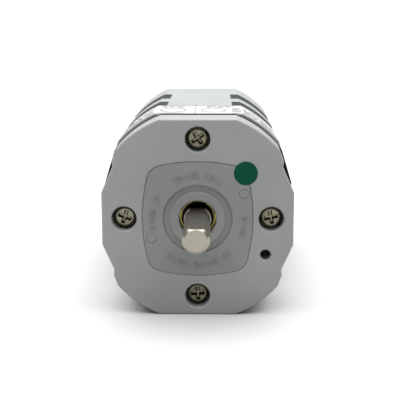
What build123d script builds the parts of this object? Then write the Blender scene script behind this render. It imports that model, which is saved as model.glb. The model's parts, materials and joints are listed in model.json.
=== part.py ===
"""Short geared roller shutter motor: flanged front cover, two planetary stages and a
permanent-magnet motor in one housing, held together by four long tie screws.

Depths are measured from the front face back towards the rear cover, and the output
shaft stands out in front of that face, so its depths are negative.
"""
from build123d import *
from math import acos, cos, pi, radians, sin, tan
import os

os.makedirs("parts", exist_ok=True)

# ---------------------------------------------------------------- driving dimensions
COVER_RADIUS = 33.4           # rounded corners of the front cover and spacer
BODY_RADIUS = 34.3            # rounded corners of the housing behind them
HALF_WIDTH = 30.0             # side flats
HALF_HEIGHT = 31.2            # top and bottom flats
SLANT_ANGLES = [17, 163, 197, 343]     # small slanted flats above and below the side flats
SLANT_REACH = 31.45
WALL = 1.8
FIT = 0.1                     # assembly clearance round pieces that drop in
PRESS = 0.01                  # clearance drawn between pressed pieces

SHAFT_REACH = 27.0
COVER_BACK = 11.6
SPACER_BACK = 15.6
HOUSING_BACK = 104.0
BODY_LENGTH = 108.0
GROMMET_LIP = 1.5

TOTAL_LENGTH = SHAFT_REACH + BODY_LENGTH + GROMMET_LIP
FACE_Y = SHAFT_REACH - TOTAL_LENGTH / 2
AXIS_Z = HALF_HEIGHT

# tie screws
SCREW_X = 23.0
SCREW_Z = 25.0
SCREW_PLACES = [(SCREW_X, 0), (-SCREW_X, 0), (0, SCREW_Z), (0, -SCREW_Z)]
SCREW_RADIUS = 2.0
SCREW_HOLE = 2.2
SCREW_HEAD_RADIUS = 3.5
SCREW_HEAD_TOP = 3.0
COUNTERBORE_RADIUS = 3.95
COUNTERBORE_DEPTH = 5.6
RIM = 0.3                     # broken edges on the front face
FINE_RIM = 0.15

# front insert with its rounded-square outline
INSERT_HALF_X = 17.15
INSERT_HALF_Z = 18.05
INSERT_BULGE_X = 2.4          # how far the side edges bow outwards
INSERT_BULGE_Z = 2.0          # the same for the top and bottom edges
INSERT_CORNER = 5.0
INSERT_GAP = 0.1              # gap all round the insert
INSERT_LIP = 0.2              # broken edge of the cover round the insert
INSERT_DEPTH = 8.0
INSERT_BOSS = 13.5
GROOVE_OUTER = 10.8
GROOVE_INNER = 8.67
GROOVE_DEPTH = 0.8
SHAFT_HOLE = 5.8
BUSH_FRONT = 2.6
BUSH_STEP = 4.4               # the bush's full diameter starts here
BUSH_LIP = 5.45
BUSH_BACK = 10.6
BUSH_RADIUS = 7.0

# output shaft
SHAFT_RADIUS = 4.0
FLAT_HEIGHT = 3.3
SHOULDER_RADIUS = 4.25
JOURNAL_FRONT = 6.0
JOURNAL_RADIUS = 5.0
RUNNING = 0.05

# gears
MODULE = 0.6
PRESSURE_ANGLE = 25.0
ADDENDUM = MODULE
DEDENDUM = 1.25 * MODULE
SUN_TEETH = 12
PLANET_TEETH = 24
RING_TEETH = SUN_TEETH + 2 * PLANET_TEETH
BACKLASH = 0.07
ORBIT = MODULE * (SUN_TEETH + PLANET_TEETH) / 2
PLANET_ANGLES = [90, 210, 330]
GEAR_WIDTH = 6.0
PIN_RADIUS = 1.55
RING_CASE_BACK = 37.0
OUTPUT_PLANET_FRONT = 18.0
FIRST_PLANET_FRONT = 28.8
OUTPUT_CARRIER = (14.0, 17.4)
FIRST_CARRIER = (25.2, 28.2)

# motor
BRACKET_BACK = 43.0
BEARING_BORE = 3.0
BEARING_OUTER = 6.5
BEARING_WIDTH = 5.0
BEARING_PITCH = 4.75
BALL_RADIUS = 0.95
FRONT_BEARING = 38.0
REAR_BEARING = 98.0
CORE_FRONT = 48.0
CORE_BACK = 84.0
STATOR_BORE = 14.6
SHOE_RADIUS = 16.0
YOKE_RADIUS = 20.4
NECK_WIDTH = 5.0
TOOTH_ANGLES = range(30, 390, 60)
ROTOR_RADIUS = 14.1
MAGNET_THICKNESS = 2.2
ROTOR_SHAFT_RADIUS = 4.0

# housing
LABEL_SPAN = (16.0, 39.8)
LABEL_RECESS = 0.2
LABEL_THICKNESS = 0.15
FRONT_WINDOWS = (40.2, 52.9)
REAR_WINDOWS = (64.0, 81.0)

# cable inlet in the rear cover
INLET_PLACE = (12.5, -12.5)
INLET_BORE = 3.2
INLET_HOLE = 5.0


EDGE_MATCH = 0.01             # tolerance for picking out an edge by its place
BEYOND = 1.5 * BODY_RADIUS    # reaches safely past the outside of the body


# ---------------------------------------------------------------- helpers
def facing(depth):
    """Plane across the shaft axis at a depth, looking back at the front face."""
    return Plane(origin=(0, FACE_Y + depth, AXIS_Z), x_dir=(1, 0, 0), z_dir=(0, -1, 0))


TURNING = Plane(origin=(0, FACE_Y, AXIS_Z), x_dir=(0, 1, 0), z_dir=(1, 0, 0))
SHAFT_AXIS = Axis((0, FACE_Y, AXIS_Z), (0, 1, 0))


def save(piece, name):
    """Label one finished piece and write its STEP file."""
    piece.part.label = name
    export_step(piece.part, f"parts/{name}.step")


def tube(front, back, outer, inner=0.0, at=((0, 0),), mode=Mode.ADD):
    """Cylinders, or rings where inner is given, between two depths."""
    with BuildSketch(facing(back)) as section:
        with Locations(*at):
            Circle(outer)
            if inner:
                Circle(inner, mode=Mode.SUBTRACT)
    extrude(section.sketch, amount=back - front, mode=mode)


def turned(points, mode=Mode.ADD):
    """Revolve a closed profile of (depth, radius) points about the shaft axis."""
    with BuildSketch(TURNING) as section:
        with BuildLine():
            Polyline(*points, close=True)
        make_face()
    revolve(section.sketch, axis=SHAFT_AXIS, mode=mode)


def body_section(inset=0.0, radius=BODY_RADIUS):
    """Circle with four flats and four slants, inset evenly from the body's outside."""
    with BuildSketch(Plane.XY) as section:
        Circle(radius - inset)
        Rectangle(2 * (HALF_WIDTH - inset), 2 * (HALF_HEIGHT - inset), mode=Mode.INTERSECT)
        for slant in SLANT_ANGLES:
            reach = SLANT_REACH - inset
            foot = (reach * cos(radians(slant)), reach * sin(radians(slant)))
            with Locations(Location((*foot, 0), slant)):
                Rectangle(
                    BEYOND,
                    BEYOND,
                    align=(Align.MIN, Align.CENTER),
                    mode=Mode.SUBTRACT,
                )
    return section.sketch


def body_slab(front, back, inset=0.0, radius=BODY_RADIUS, mode=Mode.ADD):
    """The body's section extruded between two depths."""
    with BuildSketch(facing(back)) as section:
        add(body_section(inset, radius))
    extrude(section.sketch, amount=back - front, mode=mode)


def body_band(front, back, inset, thickness, mode=Mode.ADD):
    """A thin band that follows the body's outline, its outside inset from the surface."""
    with BuildSketch(facing(back)) as section:
        add(body_section(inset))
        add(body_section(inset + thickness), mode=Mode.SUBTRACT)
    extrude(section.sketch, amount=back - front, mode=mode)


def insert_section(depth, grow=0.0):
    """Rounded square with gently bowed sides."""
    half_x = INSERT_HALF_X + grow
    half_z = INSERT_HALF_Z + grow
    side_x = half_x - INSERT_BULGE_X
    side_z = half_z - INSERT_BULGE_Z
    corners = [(side_x, side_z), (-side_x, side_z), (-side_x, -side_z), (side_x, -side_z)]
    middles = [(0, half_z), (-half_x, 0), (0, -half_z), (half_x, 0)]
    with BuildSketch(facing(depth)) as section:
        with BuildLine():
            for place, middle in enumerate(middles):
                ThreePointArc(corners[place], middle, corners[(place + 1) % 4])
        make_face()
        fillet(section.vertices(), INSERT_CORNER + grow)
    return section.sketch


def front_rims(piece, radii):
    """Circular edges of these radii that lie in the front face."""
    rims = piece.edges().filter_by(GeomType.CIRCLE)
    rims = rims.filter_by_position(Axis.Y, FACE_Y - EDGE_MATCH, FACE_Y + EDGE_MATCH)
    return [edge for edge in rims if min(abs(edge.radius - r) for r in radii) < EDGE_MATCH]


def involute(angle):
    return tan(angle) - angle


def gear_points(teeth, tip, root, slack, turn):
    """Corner points of a gear outline whose flanks follow the involute.

    A negative slack widens the teeth, which is what the spaces of a ring gear need.
    """
    pitch = MODULE * teeth / 2
    base = pitch * cos(radians(PRESSURE_ANGLE))
    half_at_pitch = pi / (2 * teeth) - slack / (2 * pitch)

    def half_angle(radius):
        local = acos(base / max(radius, base))
        return half_at_pitch + involute(radians(PRESSURE_ANGLE)) - involute(local)

    radii = [root, max(base, root + (pitch - root) / 2), (pitch + tip) / 2, tip]
    points = []
    for tooth in range(teeth):
        centre = radians(turn) + 2 * pi * tooth / teeth
        flank = [(r, centre - half_angle(r)) for r in radii]
        flank += [(r, centre + half_angle(r)) for r in reversed(radii)]
        points += [(r * cos(a), r * sin(a)) for r, a in flank]
    return points


def gear_section(depth, points, place=(0, 0)):
    """Face inside a gear outline, at a place in the plane of that depth."""
    with BuildSketch(facing(depth)) as section:
        with Locations(place):
            Polygon(*points, align=None)
    return section.sketch


def toothed(teeth, turn, front, back, place=(0, 0)):
    """An external gear between two depths."""
    pitch = MODULE * teeth / 2
    points = gear_points(teeth, pitch + ADDENDUM, pitch - DEDENDUM, BACKLASH, turn)
    extrude(gear_section(back, points, place), amount=back - front)


def on_orbit(angle):
    """Centre of the planet that stands at this angle."""
    return (ORBIT * cos(radians(angle)), ORBIT * sin(radians(angle)))


PLANET_PLACES = [on_orbit(angle) for angle in PLANET_ANGLES]


# ---------------------------------------------------------------- front end
COVER_EDGE = 0.6
COVER_NOTCH = [(HALF_WIDTH, 8.3), (26.4, 16.4), (26.6, 18.3), (24.9, 22.9)]
LOCATING_PLACE = (21.3, -11.5)
LOCATING_RADIUS = 1.7
LOCATING_DEPTH = 9.0
STICKER_PLACE = (14.9, 14.5)
STICKER_RADIUS = 3.65
STICKER_RECESS = (0, 0.2)


def sticker_recess():
    """The shallow round seat that the inspection sticker lies in."""
    tube(*STICKER_RECESS, STICKER_RADIUS + FIT, at=[STICKER_PLACE], mode=Mode.SUBTRACT)


with BuildPart() as front_cover:
    body_slab(0, COVER_BACK, radius=COVER_RADIUS)
    with BuildSketch(facing(COVER_BACK)) as notches:
        with BuildLine():
            Polyline(*COVER_NOTCH, (BEYOND, BEYOND), (BEYOND, COVER_NOTCH[0][1]), close=True)
        make_face()
        mirror(about=Plane.YZ)
        mirror(about=Plane.XZ)
    extrude(notches.sketch, amount=COVER_BACK, mode=Mode.SUBTRACT)
    fillet(front_cover.faces().sort_by(Axis.Y)[0].edges(), COVER_EDGE)
    extrude(insert_section(INSERT_DEPTH, INSERT_GAP), amount=INSERT_DEPTH, mode=Mode.SUBTRACT)
    pocket_rim = front_cover.faces().sort_by(Axis.Y)[0].inner_wires()[0]
    chamfer(pocket_rim.edges(), INSERT_LIP)
    tube(INSERT_DEPTH, COVER_BACK, INSERT_BOSS + FIT, mode=Mode.SUBTRACT)
    tube(0, COUNTERBORE_DEPTH, COUNTERBORE_RADIUS, at=SCREW_PLACES, mode=Mode.SUBTRACT)
    tube(COUNTERBORE_DEPTH, COVER_BACK, SCREW_HOLE, at=SCREW_PLACES, mode=Mode.SUBTRACT)
    tube(0, LOCATING_DEPTH, LOCATING_RADIUS, at=[LOCATING_PLACE], mode=Mode.SUBTRACT)
    chamfer(front_rims(front_cover, [COUNTERBORE_RADIUS, LOCATING_RADIUS]), RIM)
    sticker_recess()
save(front_cover, "front_cover")

INSERT_PIN_RADIUS = 1.6
INSERT_PIN_PLACES = [(14.5, 8.1), (-14.5, -6.2)]
INSERT_PIN_SPAN = (0.03, 7.0)
CLIP_POCKET = 7.6

with BuildPart() as cover_insert:
    extrude(insert_section(INSERT_DEPTH), amount=INSERT_DEPTH)
    tube(INSERT_DEPTH, COVER_BACK - FIT, INSERT_BOSS)
    tube(0, GROOVE_DEPTH, GROOVE_OUTER, GROOVE_INNER, mode=Mode.SUBTRACT)
    tube(0, BUSH_FRONT, SHAFT_HOLE, mode=Mode.SUBTRACT)
    tube(BUSH_FRONT, BUSH_STEP, SHAFT_HOLE, mode=Mode.SUBTRACT)
    tube(BUSH_STEP, BUSH_BACK, BUSH_RADIUS + PRESS, mode=Mode.SUBTRACT)
    tube(BUSH_BACK, COVER_BACK, CLIP_POCKET, mode=Mode.SUBTRACT)
    chamfer(front_rims(cover_insert, [SHAFT_HOLE]), RIM)
    fine_radii = [GROOVE_OUTER, GROOVE_INNER, INSERT_PIN_RADIUS + PRESS]
    chamfer(front_rims(cover_insert, fine_radii), FINE_RIM)
    tube(0, INSERT_PIN_SPAN[1], INSERT_PIN_RADIUS + PRESS, at=INSERT_PIN_PLACES, mode=Mode.SUBTRACT)
    sticker_recess()
save(cover_insert, "cover_insert")

with BuildPart() as insert_pins:
    tube(*INSERT_PIN_SPAN, INSERT_PIN_RADIUS, at=INSERT_PIN_PLACES)
    chamfer(insert_pins.faces().group_by(Axis.Y)[0].edges(), FINE_RIM)
save(insert_pins, "insert_pins")

BUSH_CHAMFER = 0.15
with BuildPart() as shaft_bush:
    tube(BUSH_FRONT, BUSH_BACK, BUSH_LIP, JOURNAL_RADIUS + RUNNING)
    tube(BUSH_STEP, BUSH_BACK, BUSH_RADIUS, BUSH_LIP)
    chamfer(shaft_bush.faces().sort_by(Axis.Y)[0].edges(), BUSH_CHAMFER)
save(shaft_bush, "shaft_bush")

with BuildPart() as inspection_sticker:
    sticker_front = STICKER_RECESS[1] - LABEL_THICKNESS
    tube(sticker_front, STICKER_RECESS[1], STICKER_RADIUS, at=[STICKER_PLACE])
save(inspection_sticker, "inspection_sticker")

CROSS_LENGTH = 4.4
CROSS_WIDTH = 1.3
CROSS_DEPTH = 1.5
CROSS_DRAFT = 16
CROSS_TURNS = [12, -20, 35, 4]
HEAD_EDGE = 1.1
SCREW_END = 103.5
with BuildPart() as tie_screws:
    tube(SCREW_HEAD_TOP, COUNTERBORE_DEPTH, SCREW_HEAD_RADIUS, at=SCREW_PLACES)
    fillet(tie_screws.faces().group_by(Axis.Y)[0].edges(), HEAD_EDGE)
    tube(COUNTERBORE_DEPTH, SCREW_END, SCREW_RADIUS, at=SCREW_PLACES)
    with BuildSketch(facing(SCREW_HEAD_TOP)) as crosses:
        for screw_place, cross_turn in zip(SCREW_PLACES, CROSS_TURNS):
            with Locations(screw_place):
                Rectangle(CROSS_LENGTH, CROSS_WIDTH, rotation=cross_turn)
                Rectangle(CROSS_WIDTH, CROSS_LENGTH, rotation=cross_turn)
    extrude(crosses.sketch, amount=-CROSS_DEPTH, taper=CROSS_DRAFT, mode=Mode.SUBTRACT)
save(tie_screws, "tie_screws")

SPACER_OPENING = 19.2
with BuildPart() as spacer_plate:
    body_slab(COVER_BACK, SPACER_BACK, radius=COVER_RADIUS)
    tube(COVER_BACK, SPACER_BACK, SPACER_OPENING, mode=Mode.SUBTRACT)
    tube(COVER_BACK, SPACER_BACK, SCREW_HOLE, at=SCREW_PLACES, mode=Mode.SUBTRACT)
save(spacer_plate, "spacer_plate")


# ---------------------------------------------------------------- output shaft
TIP_CHAMFER = 0.8
SHOULDER_FRONT = -0.5
FLAT_END = 5.9
CLIP_SPAN = (10.8, 11.4)
CLIP_GROOVE = 4.6
CLIP_OUTER = 6.3
CLIP_GAP = 3.0
SPIGOT_RADIUS = 4.0

with BuildPart() as output_shaft:
    turned([
        (-SHAFT_REACH, 0),
        (-SHAFT_REACH, SHAFT_RADIUS - TIP_CHAMFER),
        (-SHAFT_REACH + TIP_CHAMFER, SHAFT_RADIUS),
        (SHOULDER_FRONT, SHAFT_RADIUS),
        (SHOULDER_FRONT, SHOULDER_RADIUS),
        (JOURNAL_FRONT, SHOULDER_RADIUS),
        (JOURNAL_FRONT, JOURNAL_RADIUS),
        (CLIP_SPAN[0], JOURNAL_RADIUS),
        (CLIP_SPAN[0], CLIP_GROOVE),
        (CLIP_SPAN[1], CLIP_GROOVE),
        (CLIP_SPAN[1], JOURNAL_RADIUS),
        (OUTPUT_CARRIER[0], JOURNAL_RADIUS),
        (OUTPUT_CARRIER[0], SPIGOT_RADIUS),
        (OUTPUT_CARRIER[1], SPIGOT_RADIUS),
        (OUTPUT_CARRIER[1], 0),
    ])
    with BuildSketch(facing(FLAT_END)) as flat:
        with Locations((0, FLAT_HEIGHT)):
            Rectangle(2 * JOURNAL_RADIUS, JOURNAL_RADIUS, align=(Align.CENTER, Align.MIN))
    extrude(flat.sketch, amount=SHAFT_REACH + FLAT_END, mode=Mode.SUBTRACT)
save(output_shaft, "output_shaft")

with BuildPart() as shaft_circlip:
    tube(*CLIP_SPAN, CLIP_OUTER, CLIP_GROOVE + PRESS)
    with BuildSketch(facing(CLIP_SPAN[1])) as clip_gap:
        Rectangle(CLIP_GAP, BEYOND, align=(Align.CENTER, Align.MAX))
    extrude(clip_gap.sketch, amount=CLIP_SPAN[1] - CLIP_SPAN[0], mode=Mode.SUBTRACT)
save(shaft_circlip, "shaft_circlip")


# ---------------------------------------------------------------- planetary gearbox
CARRIER_RADIUS = 16.9
SUN_STUB = 2.8
STUB_END = 28.0
SECOND_SUN_SPAN = (18.2, 25.0)
PIN_OVERHANG = 0.6
RING_CASE_INSET = WALL + FIT


def carrier(span, centre_hole):
    """Disc with a centre hole and three seats for the planet pins."""
    tube(*span, CARRIER_RADIUS, centre_hole + PRESS)
    tube(*span, PIN_RADIUS + PRESS, at=PLANET_PLACES, mode=Mode.SUBTRACT)


with BuildPart() as ring_gear_case:
    body_slab(SPACER_BACK, RING_CASE_BACK, RING_CASE_INSET)
    ring_pitch = MODULE * RING_TEETH / 2
    ring_outline = gear_points(
        RING_TEETH,
        ring_pitch + DEDENDUM,
        ring_pitch - ADDENDUM,
        -BACKLASH,
        180 / RING_TEETH,
    )
    extrude(
        gear_section(RING_CASE_BACK, ring_outline),
        amount=RING_CASE_BACK - SPACER_BACK,
        mode=Mode.SUBTRACT,
    )
    tube(SPACER_BACK, RING_CASE_BACK, SCREW_HOLE, at=SCREW_PLACES, mode=Mode.SUBTRACT)
save(ring_gear_case, "ring_gear_case")

with BuildPart() as output_carrier:
    carrier(OUTPUT_CARRIER, SPIGOT_RADIUS)
save(output_carrier, "output_carrier")

with BuildPart() as output_carrier_pins:
    tube(
        OUTPUT_CARRIER[0],
        OUTPUT_PLANET_FRONT + GEAR_WIDTH + PIN_OVERHANG,
        PIN_RADIUS,
        at=PLANET_PLACES,
    )
save(output_carrier_pins, "output_carrier_pins")

with BuildPart() as first_carrier:
    carrier(FIRST_CARRIER, SUN_STUB)
save(first_carrier, "first_carrier")

with BuildPart() as first_carrier_pins:
    tube(
        FIRST_CARRIER[0],
        FIRST_PLANET_FRONT + GEAR_WIDTH + PIN_OVERHANG,
        PIN_RADIUS,
        at=PLANET_PLACES,
    )
save(first_carrier_pins, "first_carrier_pins")

with BuildPart() as second_sun:
    toothed(SUN_TEETH, 0, *SECOND_SUN_SPAN)
    tube(SECOND_SUN_SPAN[1], STUB_END, SUN_STUB)
save(second_sun, "second_sun")

for stage, planet_front in (("output", OUTPUT_PLANET_FRONT), ("first", FIRST_PLANET_FRONT)):
    for number, angle in enumerate(PLANET_ANGLES, start=1):
        # a space of each planet faces the tooth of the sun on the line of centres
        planet_turn = angle + 180 / PLANET_TEETH
        planet_back = planet_front + GEAR_WIDTH
        with BuildPart() as planet:
            toothed(PLANET_TEETH, planet_turn, planet_front, planet_back, on_orbit(angle))
            tube(
                planet_front,
                planet_back,
                PIN_RADIUS + RUNNING,
                at=[on_orbit(angle)],
                mode=Mode.SUBTRACT,
            )
        save(planet, f"{stage}_planet_{number}")


# ---------------------------------------------------------------- motor
PINION_SPAN = (28.6, 36.5)
PINION_BORE = 1.8
BRACKET_HOLE = 4.6
SKIRT_THICKNESS = 1.8

with BuildPart() as motor_pinion:
    toothed(SUN_TEETH, 0, *PINION_SPAN)
    tube(*PINION_SPAN, PINION_BORE + PRESS, mode=Mode.SUBTRACT)
save(motor_pinion, "motor_pinion")

with BuildPart() as bearing_bracket:
    body_slab(RING_CASE_BACK, BRACKET_BACK, RING_CASE_INSET)
    body_band(BRACKET_BACK, CORE_FRONT - FIT, RING_CASE_INSET, SKIRT_THICKNESS)
    tube(RING_CASE_BACK, FRONT_BEARING, BRACKET_HOLE, mode=Mode.SUBTRACT)
    tube(FRONT_BEARING, BRACKET_BACK, BEARING_OUTER + PRESS, mode=Mode.SUBTRACT)
    tube(RING_CASE_BACK, BRACKET_BACK, SCREW_HOLE, at=SCREW_PLACES, mode=Mode.SUBTRACT)
save(bearing_bracket, "bearing_bracket")

BEARINGS = [FRONT_BEARING, REAR_BEARING]
RING_THICKNESS = 1.1
RACE_RADIUS = BALL_RADIUS + RUNNING
BALL_COUNT = 7


def bearing_ring(front, inner, outer):
    """One bearing ring with its ball groove."""
    middle = front + BEARING_WIDTH / 2
    with BuildSketch(TURNING) as section:
        with Locations((middle, (inner + outer) / 2)):
            Rectangle(BEARING_WIDTH, outer - inner)
        with Locations((middle, BEARING_PITCH)):
            Circle(RACE_RADIUS, mode=Mode.SUBTRACT)
    revolve(section.sketch, axis=SHAFT_AXIS)


with BuildPart() as bearing_outer_rings:
    for bearing_front in BEARINGS:
        bearing_ring(bearing_front, BEARING_OUTER - RING_THICKNESS, BEARING_OUTER)
save(bearing_outer_rings, "bearing_outer_rings")

with BuildPart() as bearing_inner_rings:
    for bearing_front in BEARINGS:
        bearing_ring(bearing_front, BEARING_BORE + PRESS, BEARING_BORE + RING_THICKNESS)
save(bearing_inner_rings, "bearing_inner_rings")

with BuildPart() as bearing_balls:
    for bearing_front in BEARINGS:
        with Locations(facing(bearing_front + BEARING_WIDTH / 2)):
            with PolarLocations(BEARING_PITCH, BALL_COUNT):
                Sphere(BALL_RADIUS)
save(bearing_balls, "bearing_balls")

PINION_SEAT_END = FRONT_BEARING - 0.5
FRONT_SHOULDER = BRACKET_BACK + 0.3
REAR_SHOULDER = REAR_BEARING - 0.3
ROTOR_SHAFT_END = REAR_BEARING + BEARING_WIDTH + 0.3
with BuildPart() as rotor_shaft:
    turned([
        (PINION_SPAN[0], 0),
        (PINION_SPAN[0], PINION_BORE),
        (PINION_SEAT_END, PINION_BORE),
        (PINION_SEAT_END, BEARING_BORE),
        (FRONT_SHOULDER, BEARING_BORE),
        (FRONT_SHOULDER, ROTOR_SHAFT_RADIUS),
        (REAR_SHOULDER, ROTOR_SHAFT_RADIUS),
        (REAR_SHOULDER, BEARING_BORE),
        (ROTOR_SHAFT_END, BEARING_BORE),
        (ROTOR_SHAFT_END, 0),
    ])
save(rotor_shaft, "rotor_shaft")

ROTOR_CORE_STEP = 0.5         # how much shorter the core is than the magnets at each end
with BuildPart() as rotor_core:
    tube(
        CORE_FRONT + ROTOR_CORE_STEP,
        CORE_BACK - ROTOR_CORE_STEP,
        ROTOR_RADIUS - MAGNET_THICKNESS,
        ROTOR_SHAFT_RADIUS + PRESS,
    )
save(rotor_core, "rotor_core")

POLE_COUNT = 6
MAGNET_GAP = 1.2
with BuildPart() as rotor_magnets:
    tube(CORE_FRONT, CORE_BACK, ROTOR_RADIUS, ROTOR_RADIUS - MAGNET_THICKNESS + PRESS)
    with BuildSketch(facing(CORE_BACK)) as magnet_gaps:
        with PolarLocations(0, POLE_COUNT // 2):
            Rectangle(BEYOND, MAGNET_GAP)
    extrude(magnet_gaps.sketch, amount=CORE_BACK - CORE_FRONT, mode=Mode.SUBTRACT)
save(rotor_magnets, "rotor_magnets")

SLOT_OPENING = 2.2
TOOTH_LENGTH = YOKE_RADIUS - SHOE_RADIUS + 2      # overlaps the shoe and the yoke
with BuildPart() as stator_core:
    with BuildSketch(facing(CORE_BACK)) as lamination:
        add(body_section(RING_CASE_INSET))
        Circle(YOKE_RADIUS, mode=Mode.SUBTRACT)
        with PolarLocations((SHOE_RADIUS + YOKE_RADIUS) / 2, len(TOOTH_ANGLES), TOOTH_ANGLES[0]):
            Rectangle(TOOTH_LENGTH, NECK_WIDTH)
        Circle(SHOE_RADIUS)
        Circle(STATOR_BORE, mode=Mode.SUBTRACT)
        with PolarLocations((STATOR_BORE + SHOE_RADIUS) / 2, len(TOOTH_ANGLES)):
            Rectangle(2 * (SHOE_RADIUS - STATOR_BORE), SLOT_OPENING, mode=Mode.SUBTRACT)
        with Locations(*SCREW_PLACES):
            Circle(SCREW_HOLE, mode=Mode.SUBTRACT)
    extrude(lamination.sketch, amount=CORE_BACK - CORE_FRONT)
save(stator_core, "stator_core")

FORMER_WALL = 0.6
FORMER_SPAN = (16.5, 19.7)
COIL_SPAN = (16.8, 19.2)
COIL_BUILD = 3.0
FRAME_CORNER = 0.9            # corner radius as a share of the build


def wound_frames(clear, build, inner_radius, outer_radius):
    """One rectangular ring, this thick, round the neck of every stator tooth."""
    middle = FACE_Y + (CORE_FRONT + CORE_BACK) / 2
    along = CORE_BACK - CORE_FRONT + 2 * clear
    across = NECK_WIDTH + 2 * clear
    for angle in TOOTH_ANGLES:
        outward = Vector(cos(radians(angle)), 0, sin(radians(angle)))
        origin = Vector(0, middle, AXIS_Z) + outward * inner_radius
        with BuildSketch(Plane(origin=origin, x_dir=(0, 1, 0), z_dir=outward)) as frame:
            RectangleRounded(along + 2 * build, across + 2 * build, build * FRAME_CORNER)
            Rectangle(along, across, mode=Mode.SUBTRACT)
        extrude(frame.sketch, amount=outer_radius - inner_radius)


with BuildPart() as coil_formers:
    wound_frames(FIT, FORMER_WALL, *FORMER_SPAN)
save(coil_formers, "coil_formers")

with BuildPart() as stator_coils:
    wound_frames(FIT + FORMER_WALL + PRESS, COIL_BUILD, *COIL_SPAN)
save(stator_coils, "stator_coils")


# ---------------------------------------------------------------- housing and rear end
LABEL_JOINT_X = -1.2
LABEL_JOINT = 0.4
HOUSING_EDGE = 0.35           # broken front edge of the housing
STRIP_HALF_X = 11.3           # solid strip left along the top and bottom flats
STRIP_HALF_Z = 15.0           # solid side left between the windows


def window_shapes(front, back, outer, clear, mode=Mode.ADD):
    """Fill the four corner windows between two depths, out to the given outline."""
    with BuildSketch(facing(back)) as shapes:
        add(outer)
        add(body_section(WALL), mode=Mode.SUBTRACT)
        Rectangle(2 * (STRIP_HALF_X + clear), 2 * BEYOND, mode=Mode.SUBTRACT)
        Rectangle(2 * BEYOND, 2 * (STRIP_HALF_Z + clear), mode=Mode.SUBTRACT)
    extrude(shapes.sketch, amount=back - front, mode=mode)


with BuildPart() as motor_housing:
    body_slab(SPACER_BACK, HOUSING_BACK)
    chamfer(motor_housing.faces().sort_by(Axis.Y)[0].edges(), HOUSING_EDGE)
    body_slab(SPACER_BACK, HOUSING_BACK, WALL, mode=Mode.SUBTRACT)
    body_band(*LABEL_SPAN, 0, LABEL_RECESS, mode=Mode.SUBTRACT)
    with BuildSketch(Plane.XY) as everything:
        Rectangle(2 * BEYOND, 2 * BEYOND)
    window_shapes(*FRONT_WINDOWS, everything.sketch, 0, mode=Mode.SUBTRACT)
    window_shapes(*REAR_WINDOWS, everything.sketch, 0, mode=Mode.SUBTRACT)
save(motor_housing, "motor_housing")

PLATE_SUNK = 0.3              # the plates lie this far below the housing's surface


def window_plates(front, back):
    """Four dark plates that close the corner windows between two depths."""
    window_shapes(front + FIT, back - FIT, body_section(PLATE_SUNK), FIT)


with BuildPart() as front_window_plates:
    window_plates(*FRONT_WINDOWS)
save(front_window_plates, "front_window_plates")

with BuildPart() as rear_window_plates:
    window_plates(*REAR_WINDOWS)
save(rear_window_plates, "rear_window_plates")

LABEL_EDGE = 0.3
with BuildPart() as rating_label:
    label_back = LABEL_SPAN[1] - LABEL_EDGE
    body_band(
        LABEL_SPAN[0] + LABEL_EDGE,
        label_back,
        LABEL_RECESS - LABEL_THICKNESS,
        LABEL_THICKNESS,
    )
    with BuildSketch(facing(label_back)) as joint:
        with Locations((LABEL_JOINT_X, 0)):
            Rectangle(LABEL_JOINT, BEYOND, align=(Align.CENTER, Align.MIN))
    extrude(joint.sketch, amount=label_back - LABEL_SPAN[0], mode=Mode.SUBTRACT)
save(rating_label, "rating_label")

SEAT_BOSS = 9.5
INSERT_NUT_RADIUS = 2.8
INSERT_NUT_BOSS = 3.9
BOSS_FRONT = 97.0
NUT_FRONT = 97.5
WASHER_THICKNESS = 0.5
WASHER_PLAY = 0.1
REAR_EDGE = 1.0

with BuildPart() as rear_cover:
    body_slab(HOUSING_BACK, BODY_LENGTH)
    fillet(rear_cover.faces().sort_by(Axis.Y)[-1].edges(), REAR_EDGE)
    body_band(CORE_BACK + FIT, HOUSING_BACK, RING_CASE_INSET, SKIRT_THICKNESS)
    tube(BOSS_FRONT, HOUSING_BACK, SEAT_BOSS)
    tube(BOSS_FRONT, HOUSING_BACK, INSERT_NUT_BOSS, at=SCREW_PLACES)
    seat_back = REAR_BEARING + BEARING_WIDTH + WASHER_THICKNESS + 2 * WASHER_PLAY
    tube(BOSS_FRONT, seat_back, BEARING_OUTER + PRESS, mode=Mode.SUBTRACT)
    tube(BOSS_FRONT, HOUSING_BACK, INSERT_NUT_RADIUS + PRESS, at=SCREW_PLACES, mode=Mode.SUBTRACT)
    tube(HOUSING_BACK, BODY_LENGTH, INLET_HOLE + PRESS, at=[INLET_PLACE], mode=Mode.SUBTRACT)
save(rear_cover, "rear_cover")

with BuildPart() as threaded_inserts:
    tube(NUT_FRONT, HOUSING_BACK, INSERT_NUT_RADIUS, SCREW_RADIUS + PRESS, at=SCREW_PLACES)
save(threaded_inserts, "threaded_inserts")

WASHER_INNER = 5.0
WASHER_OUTER = 6.3
with BuildPart() as wave_washer:
    washer_front = REAR_BEARING + BEARING_WIDTH + WASHER_PLAY
    tube(washer_front, washer_front + WASHER_THICKNESS, WASHER_OUTER, WASHER_INNER)
save(wave_washer, "wave_washer")

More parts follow.
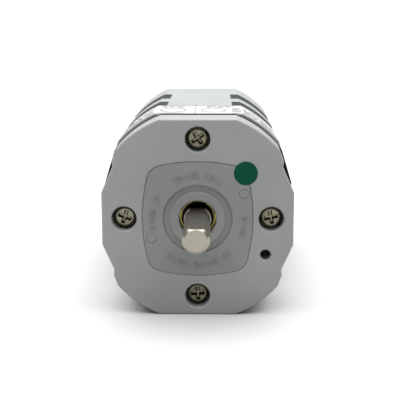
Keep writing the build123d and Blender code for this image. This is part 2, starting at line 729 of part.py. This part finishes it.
GROMMET_FLANGE = 6.4
GROMMET_FLANGE_THICKNESS = 1.2
with BuildPart() as cable_grommet:
    inner_front = HOUSING_BACK - GROMMET_FLANGE_THICKNESS
    tube(inner_front, BODY_LENGTH + GROMMET_LIP, INLET_HOLE, at=[INLET_PLACE])
    tube(inner_front, HOUSING_BACK - PRESS, GROMMET_FLANGE, at=[INLET_PLACE])
    tube(BODY_LENGTH + PRESS, BODY_LENGTH + GROMMET_LIP, GROMMET_FLANGE, at=[INLET_PLACE])
    lip_face = cable_grommet.faces().sort_by(Axis.Y)[-1]
    fillet(lip_face.edges(), GROMMET_LIP / 2)
    tube(inner_front, BODY_LENGTH + GROMMET_LIP, INLET_BORE, at=[INLET_PLACE], mode=Mode.SUBTRACT)
save(cable_grommet, "cable_grommet")

BLOCK_PLACE = (-12.5, 14.0)
BLOCK_SIZE = (13.0, 8.0)
BLOCK_FRONT = 96.0
BLOCK_CORNER = 0.8
TERMINAL_PITCH = 4.0
TERMINAL_RADIUS = 1.4
TERMINAL_DEPTH = 3.0
TERMINAL_SUNK = 0.4
TERMINAL_PLACES = [(BLOCK_PLACE[0] + step * TERMINAL_PITCH, BLOCK_PLACE[1]) for step in (-1, 0, 1)]

with BuildPart() as terminal_block:
    with BuildSketch(facing(HOUSING_BACK)) as block:
        with Locations(BLOCK_PLACE):
            RectangleRounded(*BLOCK_SIZE, BLOCK_CORNER)
    extrude(block.sketch, amount=HOUSING_BACK - BLOCK_FRONT)
    tube(
        BLOCK_FRONT,
        BLOCK_FRONT + TERMINAL_DEPTH,
        TERMINAL_RADIUS + PRESS,
        at=TERMINAL_PLACES,
        mode=Mode.SUBTRACT,
    )
save(terminal_block, "terminal_block")

with BuildPart() as terminal_screws:
    tube(
        BLOCK_FRONT + TERMINAL_SUNK,
        BLOCK_FRONT + TERMINAL_DEPTH,
        TERMINAL_RADIUS,
        at=TERMINAL_PLACES,
    )
save(terminal_screws, "terminal_screws")

CAPACITOR_PLACE = (14.0, 13.5)
CAPACITOR_RADIUS = 5.5
CAPACITOR_FRONT = 91.5
CAPACITOR_EDGE = 0.8
with BuildPart() as run_capacitor:
    tube(CAPACITOR_FRONT, HOUSING_BACK, CAPACITOR_RADIUS, at=[CAPACITOR_PLACE])
    fillet(run_capacitor.faces().sort_by(Axis.Y)[0].edges(), CAPACITOR_EDGE)
save(run_capacitor, "run_capacitor")
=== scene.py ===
"""Looks for the short geared roller shutter motor: materials for every CAD node, the
printed and moulded details, soft studio light and the camera.  Lengths are in metres."""
import json
from math import atan2, ceil, cos, hypot, pi, radians, sin

import bpy
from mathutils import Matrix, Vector


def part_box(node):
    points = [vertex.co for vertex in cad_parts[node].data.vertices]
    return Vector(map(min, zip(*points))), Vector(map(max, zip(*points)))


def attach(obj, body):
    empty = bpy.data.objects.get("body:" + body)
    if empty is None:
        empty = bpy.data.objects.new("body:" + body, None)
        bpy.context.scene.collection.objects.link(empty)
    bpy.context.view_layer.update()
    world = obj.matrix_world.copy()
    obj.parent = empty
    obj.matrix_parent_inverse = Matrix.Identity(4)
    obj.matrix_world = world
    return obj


MM = 0.001

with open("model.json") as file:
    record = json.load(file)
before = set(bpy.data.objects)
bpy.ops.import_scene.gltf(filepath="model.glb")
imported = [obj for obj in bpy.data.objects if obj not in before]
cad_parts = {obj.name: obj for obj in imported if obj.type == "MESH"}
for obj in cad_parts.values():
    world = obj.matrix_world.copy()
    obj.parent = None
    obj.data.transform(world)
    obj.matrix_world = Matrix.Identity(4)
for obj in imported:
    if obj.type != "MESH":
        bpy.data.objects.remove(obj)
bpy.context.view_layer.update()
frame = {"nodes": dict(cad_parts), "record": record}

scene = bpy.context.scene
nodes = frame["nodes"]


def box_centre(node):
    low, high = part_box(node)
    return (low + high) / 2


FACE_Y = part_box("front_cover")[0].y
AXIS_Z = box_centre("motor_housing").z


# ---------------------------------------------------------------- camera
CAMERA_OFFSET = Vector((4.8, -273.0, 64.3)) * MM   # from the centre of the front face
CAMERA_PITCH = 12.03                               # degrees down
CAMERA_YAW = -0.85                                 # degrees, positive to the right
CAMERA_LENS = 81.0
SENSOR_WIDTH = 36.0
NEAR_CLIP = 0.01


def make_camera():
    data = bpy.data.cameras.new("camera")
    data.sensor_width = SENSOR_WIDTH
    data.lens = CAMERA_LENS
    data.clip_start = NEAR_CLIP
    camera = bpy.data.objects.new("camera", data)
    scene.collection.objects.link(camera)
    camera.location = Vector((0, FACE_Y, AXIS_Z)) + CAMERA_OFFSET
    camera.rotation_euler = (radians(90 - CAMERA_PITCH), 0, radians(-CAMERA_YAW))
    scene.camera = camera


# ---------------------------------------------------------------- material building
class Nodes:
    """Short names for building one material's node tree."""

    def __init__(self, name):
        self.material = bpy.data.materials.new(name)
        self.material.use_nodes = True
        self.tree = self.material.node_tree
        self.shader = self.tree.nodes["Principled BSDF"]
        self.object = self.add("ShaderNodeTexCoord").outputs["Object"]

    def add(self, kind, **settings):
        node = self.tree.nodes.new(kind)
        for key, value in settings.items():
            setattr(node, key, value)
        return node

    def link(self, output, target):
        self.tree.links.new(output, target)

    def stretched(self, scale):
        mapping = self.add("ShaderNodeMapping")
        mapping.inputs["Scale"].default_value = scale
        self.link(self.object, mapping.inputs["Vector"])
        return mapping.outputs["Vector"]

    def turning(self):
        """Coordinates that follow turned marks: radius from the shaft axis, and depth."""
        split = self.add("ShaderNodeSeparateXYZ")
        self.link(self.object, split.inputs["Vector"])
        height = self.add("ShaderNodeMath", operation="SUBTRACT")
        height.inputs[1].default_value = AXIS_Z
        self.link(split.outputs["Z"], height.inputs[0])
        flat = self.add("ShaderNodeCombineXYZ")
        self.link(split.outputs["X"], flat.inputs["X"])
        self.link(height.outputs["Value"], flat.inputs["Y"])
        radius = self.add("ShaderNodeVectorMath", operation="LENGTH")
        self.link(flat.outputs["Vector"], radius.inputs[0])
        turned = self.add("ShaderNodeCombineXYZ")
        self.link(radius.outputs["Value"], turned.inputs["X"])
        self.link(split.outputs["Y"], turned.inputs["Y"])
        return turned.outputs["Vector"]

    def noise(self, scale, detail=2.0, vector=None):
        node = self.add("ShaderNodeTexNoise")
        node.inputs["Scale"].default_value = scale
        node.inputs["Detail"].default_value = detail
        self.link(vector or self.object, node.inputs["Vector"])
        return node.outputs["Fac"]

    def spread(self, value, low, high, start=0.35, end=0.65):
        node = self.add("ShaderNodeMapRange")
        for key, number in (
            ("From Min", start),
            ("From Max", end),
            ("To Min", low),
            ("To Max", high),
        ):
            node.inputs[key].default_value = number
        self.link(value, node.inputs["Value"])
        return node.outputs["Result"]

    def blend(self, factor, first, second):
        node = self.add("ShaderNodeMix", data_type="RGBA")
        self.link(factor, node.inputs["Factor"])
        for key, colour in (("A", first), ("B", second)):
            socket = [s for s in node.inputs if s.name == key and s.type == "RGBA"][0]
            if isinstance(colour, tuple):
                socket.default_value = (*colour, 1.0)
            else:
                self.link(colour, socket)
        return [s for s in node.outputs if s.type == "RGBA"][0]

    def bump(self, height, strength, distance, after=None):
        node = self.add("ShaderNodeBump")
        node.inputs["Strength"].default_value = strength
        node.inputs["Distance"].default_value = distance
        self.link(height, node.inputs["Height"])
        if after is not None:
            self.link(after, node.inputs["Normal"])
        self.link(node.outputs["Normal"], self.shader.inputs["Normal"])
        return node.outputs["Normal"]

    def finish(self, **values):
        for key, value in values.items():
            self.shader.inputs[key.replace("_", " ")].default_value = value
        return self.material


def shade(colour, factor):
    return tuple(min(1.0, channel * factor) for channel in colour)


DRIFT_SCALE = 45               # noise scales are in cycles per metre
DRIFT_RANGE = (0.3, 0.7)
RUB_SCALE = 160
RUB_SPREAD = 0.06              # roughness varies by this much either way
WAVE_SCALE = 70
WAVE_DEPTH = 0.05 * MM
PLASTIC_IOR = 1.45


def plastic(
    name,
    colour,
    roughness=0.5,
    grain=1800,
    grain_depth=0.02,
    mottling=0.05,
    gloss=0.5,
):
    """Moulded plastic: spark-eroded grain, slow colour drift and rubbed patches."""
    n = Nodes(name)
    drift = n.spread(n.noise(DRIFT_SCALE, 3), 0, 1, *DRIFT_RANGE)
    base = n.blend(drift, shade(colour, 1 - mottling), shade(colour, 1 + mottling))
    n.link(base, n.shader.inputs["Base Color"])
    rub = n.spread(n.noise(RUB_SCALE, 4), roughness - RUB_SPREAD, roughness + RUB_SPREAD)
    n.link(rub, n.shader.inputs["Roughness"])
    waviness = n.bump(n.noise(WAVE_SCALE, 1), 0.25, WAVE_DEPTH)
    n.bump(n.noise(grain, 3), 0.5, grain_depth * MM, waviness)
    return n.finish(IOR=PLASTIC_IOR, Specular_IOR_Level=gloss)


TURNED_SCALE = 5200            # fine rings of turned metal
MARKED_SCALE = 9               # marks already stretched by their own coordinates
TONE_SCALE = 140
# Painted shade on the shaft where it runs into the cover's hole: its colour darkens with depth,
# standing in for the shadow there.
PAINTED_SHADE_START = 0.3 * MM           # the painted shade on the shaft starts this far inside the face
PAINTED_SHADE_END = 2.2 * MM
PAINTED_SHADE_LEVEL = 0.04


def painted_recess_shade(n, tone):
    """Painted shade: darken a colour with depth where the shaft runs into the cover, standing in
    for the shadow inside the hole.
    """
    split = n.add("ShaderNodeSeparateXYZ")
    n.link(n.object, split.inputs["Vector"])
    depths = (FACE_Y + PAINTED_SHADE_START, FACE_Y + PAINTED_SHADE_END)
    share = n.spread(split.outputs["Y"], 1.0, PAINTED_SHADE_LEVEL, *depths)
    darker = n.add("ShaderNodeVectorMath", operation="SCALE")
    n.link(tone, darker.inputs[0])
    n.link(share, darker.inputs["Scale"])
    return darker.outputs["Vector"]


def metal(name, colour, roughness=0.3, marks=None, depth=0.003, mottling=0.05, painted_shade=False):
    """Metal with tool marks: stretched by marks, or turned about the shaft without it."""
    n = Nodes(name)
    if marks is None:
        lines = n.noise(TURNED_SCALE, 2, n.turning())
    else:
        lines = n.noise(MARKED_SCALE, 3, n.stretched(marks))
    light, dark = shade(colour, 1 + mottling), shade(colour, 1 - mottling)
    tone = n.blend(n.spread(n.noise(TONE_SCALE, 2), 0, 1), dark, light)
    # painted shade on the shaft inside the cover's hole
    if painted_shade:
        tone = painted_recess_shade(n, tone)
    n.link(tone, n.shader.inputs["Base Color"])
    rub = n.spread(lines, roughness - RUB_SPREAD, roughness + RUB_SPREAD)
    n.link(rub, n.shader.inputs["Roughness"])
    n.bump(lines, 0.3, depth * MM)
    return n.finish(Metallic=1.0)


FILM_TONE_SCALE = 120
FILM_RUB_SCALE = 400
FILM_RUB_SPREAD = 0.04
RIPPLE_SCALE = 90
RIPPLE_DEPTH = 0.03 * MM


def film(name, colour, roughness=0.3, ior=1.48):
    """Printed film with a slight ripple where it was pressed down by hand."""
    n = Nodes(name)
    drift = n.spread(n.noise(FILM_TONE_SCALE, 3), 0, 1)
    tone = n.blend(drift, shade(colour, 0.985), shade(colour, 1.01))
    n.link(tone, n.shader.inputs["Base Color"])
    limits = (roughness - FILM_RUB_SPREAD, roughness + FILM_RUB_SPREAD)
    n.link(n.spread(n.noise(FILM_RUB_SCALE, 2), *limits), n.shader.inputs["Roughness"])
    n.bump(n.noise(RIPPLE_SCALE, 2), 0.2, RIPPLE_DEPTH)
    return n.finish(IOR=ior)


EVEN = (160, 160, 160)        # marks alike in every direction
STACKED = (20, 2600, 20)      # laminations along the shaft axis
WOUND = (20, 20, 1400)        # turns of wire

MATERIALS = {
    "cover_plastic": lambda name: plastic(name, (0.252, 0.262, 0.257), 0.55),
    "insert_plastic": lambda name: plastic(name, (0.196, 0.204, 0.200), 0.55),
    "housing_plastic": lambda name: plastic(name, (0.250, 0.260, 0.262), 0.55),
    "black_plastic": lambda name: plastic(name, (0.012, 0.012, 0.013), 0.6, gloss=0.04),
    "plate_plastic": lambda name: plastic(name, (0.028, 0.030, 0.033), 0.6, gloss=0.08),
    "label_film": lambda name: film(name, (0.46, 0.46, 0.456), 0.4),
    "green_film": lambda name: film(name, (0.0, 0.058, 0.034), 0.6, 1.2),
    "plated_steel": lambda name: metal(name, (0.20, 0.19, 0.135), 0.3, EVEN, 0.05, 0.35),
    # the shaft's colour carries painted shade where it runs into the cover
    "shaft_steel": lambda name: metal(name, (0.34, 0.315, 0.27), 0.3, painted_shade=True),
    "bush_brass": lambda name: metal(name, (0.62, 0.52, 0.15), 0.3),
    "pin_steel": lambda name: metal(name, (0.50, 0.50, 0.49), 0.3, EVEN),
    "spring_steel": lambda name: metal(name, (0.10, 0.095, 0.09), 0.4, EVEN),
    "gear_case_alloy": lambda name: metal(name, (0.50, 0.50, 0.50), 0.5, EVEN, 0.01),
    "gear_steel": lambda name: metal(name, (0.40, 0.40, 0.40), 0.34),
    "gear_acetal": lambda name: plastic(name, (0.72, 0.70, 0.64), 0.38, 900, 0.006),
    "bearing_steel": lambda name: metal(name, (0.65, 0.65, 0.67), 0.14, None, 0.001),
    "lamination_steel": lambda name: metal(name, (0.11, 0.11, 0.12), 0.5, STACKED, 0.02),
    "magnet_ferrite": lambda name: plastic(name, (0.05, 0.05, 0.055), 0.5, 2600, 0.01),
    "winding_copper": lambda name: metal(name, (0.60, 0.20, 0.07), 0.3, WOUND, 0.03),
    "grommet_rubber": lambda name: plastic(name, (0.018, 0.018, 0.018), 0.7, 1200, 0.01),
    "capacitor_film": lambda name: film(name, (0.58, 0.40, 0.05), 0.3),
}
INK = (0.05, 0.05, 0.053)


def paint_nodes():
    """Give every CAD node the material of its slot."""
    made = {slot: build(slot) for slot, build in MATERIALS.items()}
    for part in frame["record"]["subparts"]:
        node = nodes[part["node"]]
        node.data.materials.clear()
        node.data.materials.append(made[part["material_slot"]])
    return made


# ---------------------------------------------------------------- moulded and printed details
# Depths are from the front face; sizes in this section are in millimetres.
BODY_RADIUS = 34.3
LABEL_SURFACE = 0.05          # the label lies this far below the body's outside


def new_piece(name, points, faces, material, smooth=False):
    """A mesh object that rides on the motor body; points are in metres."""
    mesh = bpy.data.meshes.new(name)
    mesh.from_pydata([tuple(p) for p in points], [], faces)
    mesh.update()
    for face in mesh.polygons:
        face.use_smooth = smooth
    mesh.materials.append(material)
    piece = bpy.data.objects.new(name, mesh)
    scene.collection.objects.link(piece)
    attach(piece, "motor_body")
    return piece


def on_face(x, z, height=0.0):
    """A point on the front face, raised by a height, from the shaft axis."""
    return Vector((x * MM, FACE_Y - height * MM, AXIS_Z + z * MM))


def add_block(points, faces, corners, low, high, taper):
    """A low raised block over four corners (x, z), its top drawn in by a taper."""
    middle = (sum(x for x, z in corners) / 4, sum(z for x, z in corners) / 4)
    first = len(points)
    for x, z in corners:
        points.append(on_face(x, z, low))
    for x, z in corners:
        reach = hypot(x - middle[0], z - middle[1])
        pull = 1 - taper / reach
        points.append(
            on_face(middle[0] + (x - middle[0]) * pull, middle[1] + (z - middle[1]) * pull, high)
        )
    faces.append(tuple(first + k for k in (4, 5, 6, 7)))
    faces.append(tuple(first + k for k in (3, 2, 1, 0)))
    for k in range(4):
        n = (k + 1) % 4
        faces.append((first + k, first + n, first + 4 + n, first + 4 + k))


def mark_corners(angle, radius, across, along):
    """Corners of a mark on a ring about the shaft; along runs round the ring."""
    outward = Vector((cos(angle), sin(angle)))
    sideways = Vector((-sin(angle), cos(angle)))
    centre = outward * radius
    corners = []
    for u, v in ((-1, -1), (-1, 1), (1, 1), (1, -1)):
        place = centre + outward * (u * across / 2) + sideways * (v * along / 2)
        corners.append((place.x, place.y))
    return corners


# Each run of marks follows the ring: middle angle, number of marks, and radius.
MARK_RUNS = [
    (93, 12, 13.9),
    (172, 8, 14.3),
    (-12, 6, 14.6),
    (-88, 15, 14.7),
]
MARK_PITCH = 1.45
MARK_HEIGHT = 0.25
MARK_SUNK = 0.02
MARK_TAPER = 0.1
MARK_BAR = (1.9, 0.46)       # radial length and width of an upright bar
MARK_DASH = (0.42, 0.95)
DASH_SHIFT = 0.66            # an outer or inner dash lies this far from the run's middle
# Blocks of each kind of mark: outwards, sideways, radial length and width.
MARK_SHAPES = [
    [(0, 0, *MARK_BAR)],
    [(DASH_SHIFT, 0, *MARK_DASH), (-DASH_SHIFT, 0, *MARK_DASH)],
    [(0, -0.28, *MARK_BAR), (0, 0.28, 0.9, 0.42)],
    [(DASH_SHIFT, 0, *MARK_DASH), (0, 0, *MARK_DASH), (-DASH_SHIFT, 0, *MARK_DASH)],
    [(0, 0.25, *MARK_BAR), (-0.5, -0.3, 0.7, 0.42)],
    [(0, 0, *MARK_DASH)],
    [],
]
SHAPE_STEP = 5               # neighbouring marks take shapes this many places apart
RUN_STEP = 3


def make_insert_marks(materials):
    """Raised bars and dashes round the insert; they stand for moulded data and spell nothing."""
    points, faces = [], []
    for run, (middle, count, radius) in enumerate(MARK_RUNS):
        for number in range(count):
            offset = (number - (count - 1) / 2) * MARK_PITCH / radius
            angle = radians(middle) + offset
            shapes = MARK_SHAPES[(number * SHAPE_STEP + run * RUN_STEP) % len(MARK_SHAPES)]
            for outwards, sideways, across, along in shapes:
                turn = angle + sideways / radius
                corners = mark_corners(turn, radius + outwards, across, along)
                add_block(points, faces, corners, -MARK_SUNK, MARK_HEIGHT, MARK_TAPER)
    material = materials["insert_plastic"]
    new_piece("insert_relief_marks", points, faces, material)


def label_point(run, depth, proud):
    """A point on the label: run is millimetres round the body from the middle of the top."""
    radius = BODY_RADIUS - LABEL_SURFACE + proud
    height = AXIS_Z / MM - LABEL_SURFACE + proud
    flat_half = (radius**2 - height**2) ** 0.5
    if abs(run) <= flat_half:
        x, z = run, height
    else:
        side = 1 if run > 0 else -1
        start = atan2(height, flat_half)
        angle = start - (abs(run) - flat_half) / radius
        x, z = side * radius * cos(angle), radius * sin(angle)
    return Vector((x * MM, FACE_Y + depth * MM, AXIS_Z + z * MM))


PRINT_PROUD = 0.012
PRINT_STEP = 1.0


def add_patch(points, faces, run_start, run_end, depth_start, depth_end):
    """A printed rectangle that follows the label's surface."""
    steps = max(1, ceil(abs(run_end - run_start) / PRINT_STEP))
    first = len(points)
    for step in range(steps + 1):
        run = run_start + (run_end - run_start) * step / steps
        for proud in (PRINT_PROUD, -PRINT_PROUD):
            for depth in (depth_start, depth_end):
                points.append(label_point(run, depth, proud))
    for step in range(steps):
        a = first + 4 * step
        b = a + 4
        faces.append((a, b, b + 1, a + 1))
        faces.append((a + 2, a + 3, b + 3, b + 2))
        faces.append((a, a + 2, b + 2, b))
        faces.append((a + 1, b + 1, b + 3, a + 3))
    last = first + 4 * steps
    faces.append((first, first + 1, first + 3, first + 2))
    faces.append((last, last + 2, last + 3, last + 1))


# Rows of print: depth, row height, and the spans of its bars round the body.
PRINT_ROWS = [
    (17.2, 0.8, [(-28, -4.5), (10.5, 28.0)]),
    (20.4, 1.5, [(-28, -25), (-24, -19), (-18, -15), (11, 14), (15, 20), (21, 27)]),
    (23.6, 1.5, [(-28, -22), (-21, -15.5), (11, 17), (18.4, 20), (21, 26)]),
    (27.0, 1.5, [(-27, -20), (-19, -15), (11, 13.5), (15, 19), (20, 28)]),
    (30.4, 1.5, [(-28, -23), (-22, -16), (11, 16), (17, 21), (22, 25)]),
    (34.0, 1.9, [(-28, -24), (-12.6, -11), (-10, -8.6), (-7.6, -5)]),
    (34.0, 1.9, [(2.5, 4.2), (5.2, 8), (9, 10.4)]),
    (37.2, 1.0, [(-28, -15), (-12.6, -5.5), (2.5, 5.6), (6.6, 12), (16, 24)]),
]
OVALS = [(-8.6, 26.0, 4.2, 6.4), (4.9, 25.6, 4.1, 6.0)]   # run, depth, half sizes
OVAL_LINE = (0.42, 1.0)       # line width round the body and along it
OVAL_STEPS = 40


def add_oval(points, faces, run, depth, half_run, half_depth):
    """A printed oval outline."""
    first = len(points)
    for step in range(OVAL_STEPS):
        angle = 2 * pi * step / OVAL_STEPS
        for inset in (0, 1):
            for proud in (PRINT_PROUD, -PRINT_PROUD):
                along = run + (half_run - inset * OVAL_LINE[0]) * cos(angle)
                across = depth + (half_depth - inset * OVAL_LINE[1]) * sin(angle)
                points.append(label_point(along, across, proud))
    for step in range(OVAL_STEPS):
        a = first + 4 * step
        b = first + 4 * ((step + 1) % OVAL_STEPS)
        faces.append((a, b, b + 2, a + 2))
        faces.append((a + 1, a + 3, b + 3, b + 1))
        faces.append((a, a + 1, b + 1, b))
        faces.append((a + 2, b + 2, b + 3, a + 3))


def make_label_print(materials):
    """Bars and ovals in place of the label's text."""
    points, faces = [], []
    for depth, height, spans in PRINT_ROWS:
        for start, end in spans:
            add_patch(points, faces, start, end, depth, depth + height)
    for oval in OVALS:
        add_oval(points, faces, *oval)
    new_piece("label_print", points, faces, materials["label_ink"])


# ---------------------------------------------------------------- stage
FLOOR_SIZE = 60.0
FLOOR_ALBEDO = 0.5
FLOOR_ROUGHNESS = 0.9
SUN_STRENGTH = 7.0
SUN_SOFTNESS = 100.0          # degrees across
SUN_TILT = -8.0               # degrees about X
SKY_FRONT = 0.2
SKY_BACK = 0.5
HORIZON = 1.05
# Ramps of the sky's strength: axis, start, end, strength at the start and at the end.
SKY_RAMPS = [
    ("Y", -0.45, 0.35, SKY_FRONT, SKY_BACK),
    ("Z", 0.03, 0.06, HORIZON, 0.0),
]


def make_floor():
    mesh = bpy.data.meshes.new("floor")
    signs = [(-1, -1), (1, -1), (1, 1), (-1, 1)]
    corners = [(x * FLOOR_SIZE, y * FLOOR_SIZE, 0.0) for x, y in signs]
    mesh.from_pydata(corners, [], [(0, 1, 2, 3)])
    floor = bpy.data.objects.new("floor", mesh)
    scene.collection.objects.link(floor)
    n = Nodes("floor_white")
    n.shader.inputs["Base Color"].default_value = (FLOOR_ALBEDO, FLOOR_ALBEDO, FLOOR_ALBEDO, 1)
    mesh.materials.append(n.finish(Roughness=FLOOR_ROUGHNESS))


def make_light():
    """A wide soft light from above and a studio that is dark on the camera's side."""
    world = bpy.data.worlds.new("studio")
    world.use_nodes = True
    tree = world.node_tree
    background = tree.nodes["Background"]
    coordinates = tree.nodes.new("ShaderNodeTexCoord")
    split = tree.nodes.new("ShaderNodeSeparateXYZ")
    tree.links.new(coordinates.outputs["Generated"], split.inputs["Vector"])
    strongest = tree.nodes.new("ShaderNodeMath")
    strongest.operation = "MAXIMUM"
    for place, (axis, start, end, low, high) in enumerate(SKY_RAMPS):
        ramp = tree.nodes.new("ShaderNodeMapRange")
        ramp.interpolation_type = "SMOOTHSTEP"
        for key, number in (
            ("From Min", start),
            ("From Max", end),
            ("To Min", low),
            ("To Max", high),
        ):
            ramp.inputs[key].default_value = number
        tree.links.new(split.outputs[axis], ramp.inputs["Value"])
        tree.links.new(ramp.outputs["Result"], strongest.inputs[place])
    tree.links.new(strongest.outputs["Value"], background.inputs["Strength"])
    background.inputs["Color"].default_value = (1, 1, 1, 1)
    scene.world = world
    scene.view_settings.view_transform = "Standard"
    data = bpy.data.lights.new("overhead", "SUN")
    data.energy = SUN_STRENGTH
    data.angle = radians(SUN_SOFTNESS)
    sun = bpy.data.objects.new("overhead", data)
    scene.collection.objects.link(sun)
    sun.rotation_euler = (radians(SUN_TILT), 0, 0)


make_camera()
materials = paint_nodes()
materials["label_ink"] = film("label_ink", INK, 0.4)
make_insert_marks(materials)
make_label_print(materials)
make_floor()
make_light()
